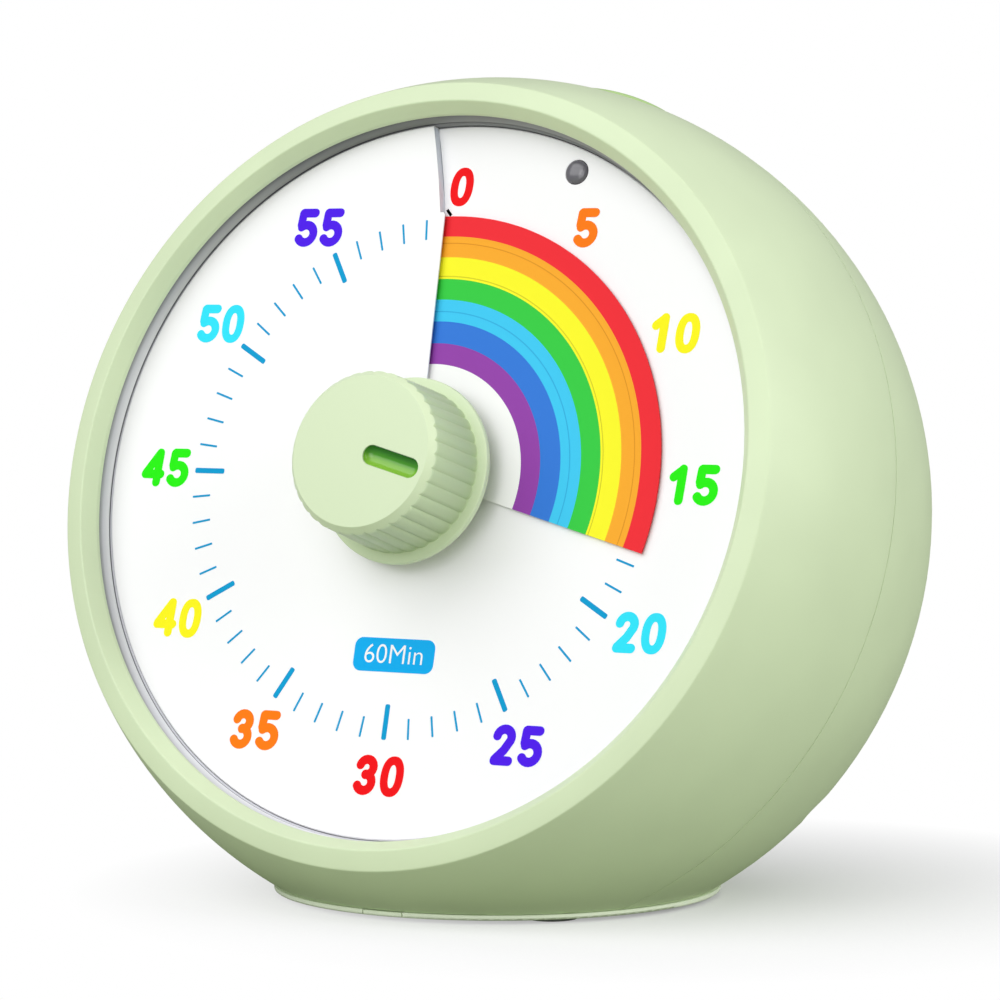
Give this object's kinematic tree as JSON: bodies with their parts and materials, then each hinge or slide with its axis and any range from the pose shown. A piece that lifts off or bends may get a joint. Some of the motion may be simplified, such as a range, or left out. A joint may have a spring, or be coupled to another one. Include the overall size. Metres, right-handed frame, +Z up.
{
  "type": "visual countdown timer",
  "caption": "Round desk timer with a leaning dial, a rainbow disc that shrinks as time runs, a fluted setting knob, a top button and a flat base.",
  "frame": {"origin": "middle of the plane that the four feet stand on, straight under the body's centre", "axes": "+Z up; the dial looks towards -Y and leans back by 15 degrees; +X to the right as seen from the front"},
  "size_m": [0.11, 0.0912, 0.1035],
  "materials": {
    "body_green": "satin moulded plastic, very fine grain",
    "base_green": "satin moulded plastic",
    "dial_white": "smooth matt printed dial",
    "surround_white": "smooth matt plastic",
    "rainbow_sheet": "thin printed plastic sheet in seven plain bands",
    "pointer_green": "glossy deep green moulding",
    "lamp_tint": "glossy smoked lens",
    "rubber_grey": "soft grey rubber",
    "cell_sleeve": "plain cell sleeve",
    "spring_steel": "bright spring steel",
    "screw_steel": "zinc-plated steel",
    "brass": "turned brass",
    "chassis_white": "plain inner moulding",
    "gear_nylon": "natural nylon",
    "magnet_dark": "dark bonded magnet",
    "stator_steel": "stamped soft steel",
    "copper_wire": "enamelled copper wire",
    "board_green": "glass-fibre circuit board",
    "black_plastic": "black moulded plastic",
    "slider_white": "plain white moulding"
  },
  "bodies": {
    "housing": {"front_shell": "body_green", "rear_shell": "body_green", "body_screws": "screw_steel", "base_plate": "base_green", "rubber_feet": "rubber_grey", "base_screws": "screw_steel", "battery_cells": "cell_sleeve", "battery_contacts": "spring_steel", "battery_springs": "spring_steel", "chassis_plate": "chassis_white", "chassis_screws": "screw_steel", "dial_surround": "surround_white", "dial_plate": "dial_white", "arbor_bush": "brass", "movement_front_plate": "chassis_white", "movement_case": "chassis_white", "movement_screws": "screw_steel", "stator": "stator_steel", "coil_bobbin": "chassis_white", "coil_winding": "copper_wire", "indicator_led": "lamp_tint", "led_board": "board_green", "circuit_board": "board_green", "controller_chip": "black_plastic", "buzzer": "black_plastic", "slide_switch": "black_plastic", "button_board": "board_green", "tact_switch": "black_plastic", "top_button_spring": "spring_steel", "board_screws": "screw_steel"},
    "battery_door": {"battery_door": "base_green"},
    "knob": {"knob": "body_green", "pointer_inlay": "pointer_green", "main_arbor": "spring_steel", "clutch_spring": "spring_steel", "retaining_clip": "spring_steel"},
    "disc": {"color_disc": "rainbow_sheet"},
    "centre_wheel": {"centre_wheel": "gear_nylon"},
    "third_wheel": {"third_wheel": "gear_nylon"},
    "fourth_wheel": {"fourth_wheel": "gear_nylon"},
    "fifth_wheel": {"fifth_wheel": "gear_nylon"},
    "rotor": {"rotor": "magnet_dark"},
    "top_button": {"top_button": "body_green"},
    "volume_slider": {"switch_slider": "slider_white"}
  },
  "joints": [
    {"name": "knob_turn", "type": "hinge", "parent": "housing", "child": "knob", "pos_m": [0, -0.01893, 0.05358], "axis": [0, 0.9659, -0.2588], "range_deg": [-105, 255]},
    {"name": "disc_lift", "type": "slide", "parent": "knob", "child": "disc", "axis": [0, -0.9659, 0.2588], "range_m": [-0.00038, 0.00092]},
    {"name": "rotor_turn", "type": "hinge", "parent": "housing", "child": "rotor", "pos_m": [-0.00841, -0.00183, 0.06101], "axis": [0, -0.9659, 0.2588], "continuous": true},
    {"name": "fifth_wheel_turn", "type": "hinge", "parent": "housing", "child": "fifth_wheel", "pos_m": [0.00174, -0.00087, 0.06457], "axis": [0, -0.9659, 0.2588], "continuous": true},
    {"name": "fourth_wheel_turn", "type": "hinge", "parent": "housing", "child": "fourth_wheel", "pos_m": [0.01083, -0.00223, 0.0595], "axis": [0, -0.9659, 0.2588], "continuous": true},
    {"name": "third_wheel_turn", "type": "hinge", "parent": "housing", "child": "third_wheel", "pos_m": [0.0126, -0.00483, 0.0498], "axis": [0, -0.9659, 0.2588], "continuous": true},
    {"name": "centre_wheel_turn", "type": "hinge", "parent": "housing", "child": "centre_wheel", "pos_m": [0, -0.01063, 0.05135], "axis": [0, -0.9659, 0.2588], "continuous": true},
    {"name": "battery_door_hinge", "type": "hinge", "parent": "housing", "child": "battery_door", "pos_m": [0, 0.02285, 0.00145], "axis": [1, 0, 0], "range_deg": [0, 70]},
    {"name": "top_button_press", "type": "slide", "parent": "housing", "child": "top_button", "axis": [0, -0.5534, -0.8329], "range_m": [0, 0.001], "stiffness_N_per_m": 400, "springref_m": -0.002, "deforming": ["top_button_spring"]},
    {"name": "volume_slide", "type": "slide", "parent": "housing", "child": "volume_slider", "axis": [1, 0, 0], "range_m": [-0.002, 0.002]}
  ],
  "couplings": [
    {"joint": "disc_lift", "follows": "knob_turn", "m_per_rad": 0.0002069},
    {"joint": "fifth_wheel_turn", "follows": "rotor_turn", "ratio": -0.2},
    {"joint": "fourth_wheel_turn", "follows": "rotor_turn", "ratio": 0.033333},
    {"joint": "third_wheel_turn", "follows": "rotor_turn", "ratio": -0.0044444},
    {"joint": "centre_wheel_turn", "follows": "rotor_turn", "ratio": 0.00055556}
  ]
}
